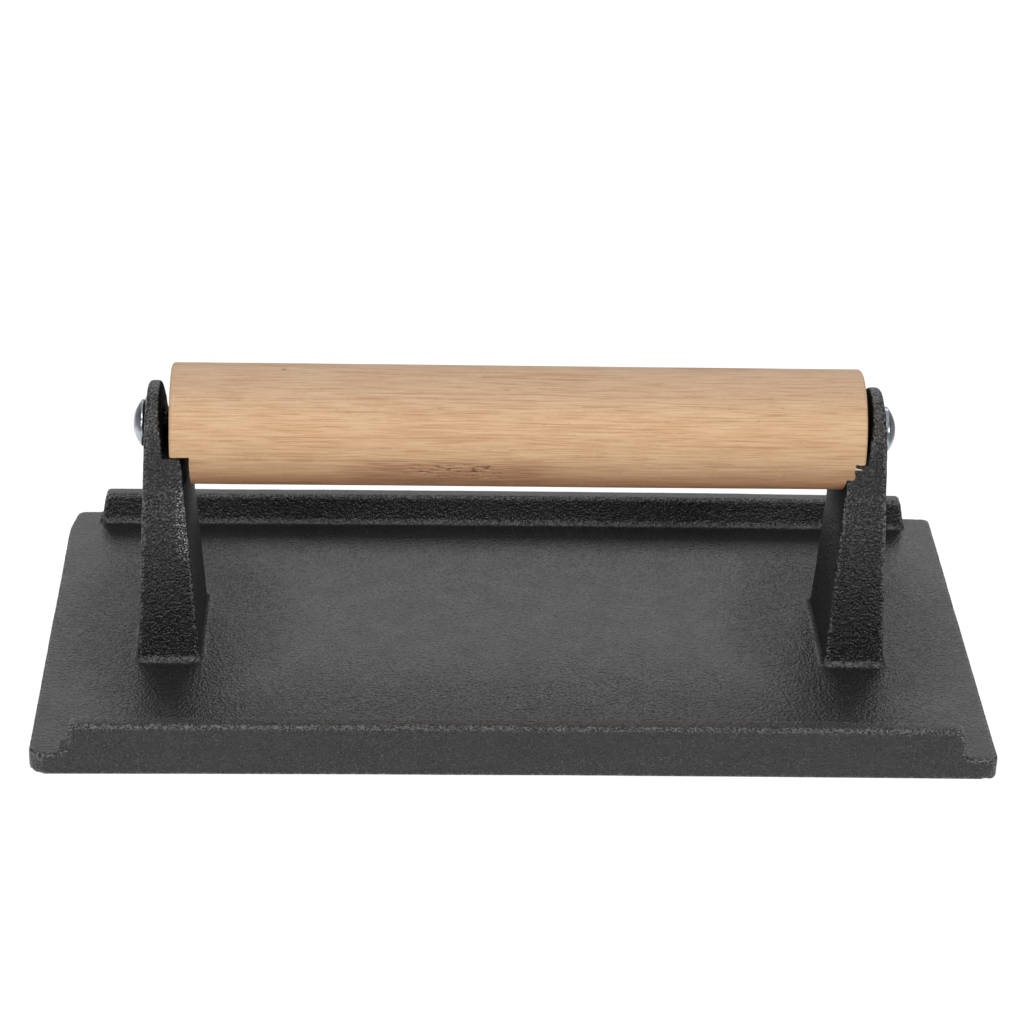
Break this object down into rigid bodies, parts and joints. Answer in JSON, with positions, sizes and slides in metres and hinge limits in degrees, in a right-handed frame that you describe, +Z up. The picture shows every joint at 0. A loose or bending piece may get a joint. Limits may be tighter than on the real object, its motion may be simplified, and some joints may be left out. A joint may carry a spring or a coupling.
{
  "type": "grill press",
  "caption": "Cast-iron grill press: flat rectangular plate with a raised ridge along each long edge and two posts carrying a round beech bar handle held by domed screws.",
  "frame": {"origin": "middle of the plate's flat underside, on the surface the press stands on", "axes": "+X along the plate and the handle, +Y across the plate towards the far ridge, +Z up from the underside to the handle"},
  "size_m": [0.21, 0.108, 0.0709],
  "materials": {
    "iron": "black semi-gloss baked coating over a fine sand-cast skin",
    "beech": "bare sanded beech, grain along the handle",
    "zinc_steel": "bright zinc plate",
    "insert_brass": "machined, hidden inside the handle ends"
  },
  "bodies": {
    "root": {"press_casting": "iron", "handle": "beech", "left_screw": "zinc_steel", "right_screw": "zinc_steel", "left_insert": "insert_brass", "right_insert": "insert_brass"}
  },
  "joints": []
}
